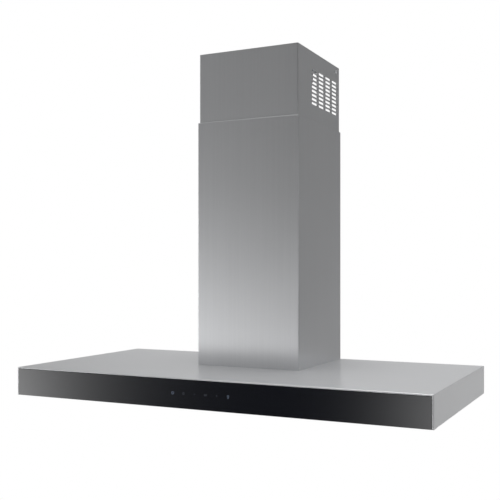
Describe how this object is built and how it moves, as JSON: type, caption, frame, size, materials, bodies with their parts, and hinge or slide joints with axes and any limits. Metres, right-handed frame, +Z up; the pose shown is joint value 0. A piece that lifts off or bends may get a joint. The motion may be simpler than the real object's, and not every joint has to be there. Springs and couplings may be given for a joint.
{
  "type": "wall chimney range hood",
  "caption": "T-shaped wall chimney range hood with a flat steel canopy, black glass front, telescoping covers and hinged baffle filters.",
  "frame": {"origin": "middle of the wall face, at the level of the canopy's underside", "axes": "+Z up, +Y towards the wall, +X to the right as seen from the front"},
  "size_m": [0.9, 0.46, 0.742],
  "materials": {
    "canopy_steel": "fine satin brushed stainless steel",
    "pan_steel": "satin stainless steel",
    "cover_steel": "fine satin brushed stainless steel",
    "black_glass": "black-backed toughened glass, polished",
    "foam_tape": "black foam tape",
    "circuit_board": "solder-masked fibreglass",
    "dark_plastic": "moulded",
    "zinc_screws": "bright zinc",
    "lamp_trim": "satin nickel",
    "frosted_lens": "frosted",
    "cast_aluminium": "die cast",
    "galvanised_steel": "galvanised sheet",
    "spacer_steel": "turned",
    "pale_plastic": "moulded",
    "flap_aluminium": "mill finish",
    "motor_steel": "zinc-plated",
    "black_rubber": "moulded",
    "white_cable": "extruded",
    "black_cable": "extruded",
    "filter_steel": "bright stainless steel",
    "latch_metal": "moulded",
    "spring_steel": "polished"
  },
  "bodies": {
    "hood": {"canopy_shell": "canopy_steel", "front_rail": "canopy_steel", "front_glass": "black_glass", "glass_tape": "foam_tape", "touch_board": "circuit_board", "touch_housing": "dark_plastic", "intake_pan": "pan_steel", "pan_screws": "zinc_screws", "lamp_bezel_left": "lamp_trim", "lamp_bezel_right": "lamp_trim", "lamp_lens_left": "frosted_lens", "lamp_lens_right": "frosted_lens", "lamp_can_left": "cast_aluminium", "lamp_can_right": "cast_aluminium", "lamp_board_left": "circuit_board", "lamp_board_right": "circuit_board", "control_box": "galvanised_steel", "control_lid": "galvanised_steel", "control_board": "circuit_board", "mains_gland": "dark_plastic", "motor_box": "galvanised_steel", "blower_screws": "zinc_screws", "wall_plate": "galvanised_steel", "wall_spacers": "spacer_steel", "outlet_collar": "pale_plastic", "damper_pin": "zinc_screws", "scroll_left": "dark_plastic", "scroll_right": "dark_plastic", "motor_housing": "motor_steel", "motor_stator": "motor_steel", "motor_bracket": "galvanised_steel", "motor_bushes": "black_rubber", "capacitor": "pale_plastic", "capacitor_clip": "galvanised_steel", "lower_cover": "cover_steel", "base_bracket": "galvanised_steel", "glide_strips": "pale_plastic", "lamp_leads": "white_cable", "motor_leads": "black_cable"},
    "upper_cover": {"upper_cover": "cover_steel", "top_bracket": "galvanised_steel", "cover_screws": "zinc_screws"},
    "blower_wheel": {"impeller": "dark_plastic", "motor_rotor": "motor_steel", "motor_shaft": "zinc_screws"},
    "flap_left": {"flap_left": "flap_aluminium"},
    "flap_right": {"flap_right": "flap_aluminium"},
    "filter_left": {"filter_frame_left": "filter_steel", "filter_baffles_left": "filter_steel", "latch_spring_left": "spring_steel"},
    "latch_left": {"filter_latch_left": "latch_metal"},
    "filter_middle": {"filter_frame_middle": "filter_steel", "filter_baffles_middle": "filter_steel", "latch_spring_middle": "spring_steel"},
    "latch_middle": {"filter_latch_middle": "latch_metal"},
    "filter_right": {"filter_frame_right": "filter_steel", "filter_baffles_right": "filter_steel", "latch_spring_right": "spring_steel"},
    "latch_right": {"filter_latch_right": "latch_metal"}
  },
  "joints": [
    {"name": "chimney_slide", "type": "slide", "parent": "hood", "child": "upper_cover", "axis": [0, 0, 1], "range_m": [-0.125, 0.268]},
    {"name": "blower_spin", "type": "hinge", "parent": "hood", "child": "blower_wheel", "pos_m": [0, -0.15, 0.18], "axis": [1, 0, 0], "continuous": true},
    {"name": "flap_left_hinge", "type": "hinge", "parent": "hood", "child": "flap_left", "pos_m": [0, -0.12, 0.332], "axis": [0, 1, 0], "range_deg": [0, 75]},
    {"name": "flap_right_hinge", "type": "hinge", "parent": "hood", "child": "flap_right", "pos_m": [0, -0.12, 0.332], "axis": [0, -1, 0], "range_deg": [0, 75]},
    {"name": "filter_left_hinge", "type": "hinge", "parent": "hood", "child": "filter_left", "pos_m": [-0.2795, -0.035, 0.0022], "axis": [1, 0, 0], "range_deg": [0, 60]},
    {"name": "latch_left_slide", "type": "slide", "parent": "filter_left", "child": "latch_left", "axis": [0, 1, 0], "range_m": [0, 0.005], "stiffness_N_per_m": 250, "springref_m": -0.003, "deforming": ["latch_spring_left"]},
    {"name": "filter_middle_hinge", "type": "hinge", "parent": "hood", "child": "filter_middle", "pos_m": [0, -0.035, 0.0022], "axis": [1, 0, 0], "range_deg": [0, 60]},
    {"name": "latch_middle_slide", "type": "slide", "parent": "filter_middle", "child": "latch_middle", "axis": [0, 1, 0], "range_m": [0, 0.005], "stiffness_N_per_m": 250, "springref_m": -0.003, "deforming": ["latch_spring_middle"]},
    {"name": "filter_right_hinge", "type": "hinge", "parent": "hood", "child": "filter_right", "pos_m": [0.2795, -0.035, 0.0022], "axis": [1, 0, 0], "range_deg": [0, 60]},
    {"name": "latch_right_slide", "type": "slide", "parent": "filter_right", "child": "latch_right", "axis": [0, 1, 0], "range_m": [0, 0.005], "stiffness_N_per_m": 250, "springref_m": -0.003, "deforming": ["latch_spring_right"]}
  ]
}
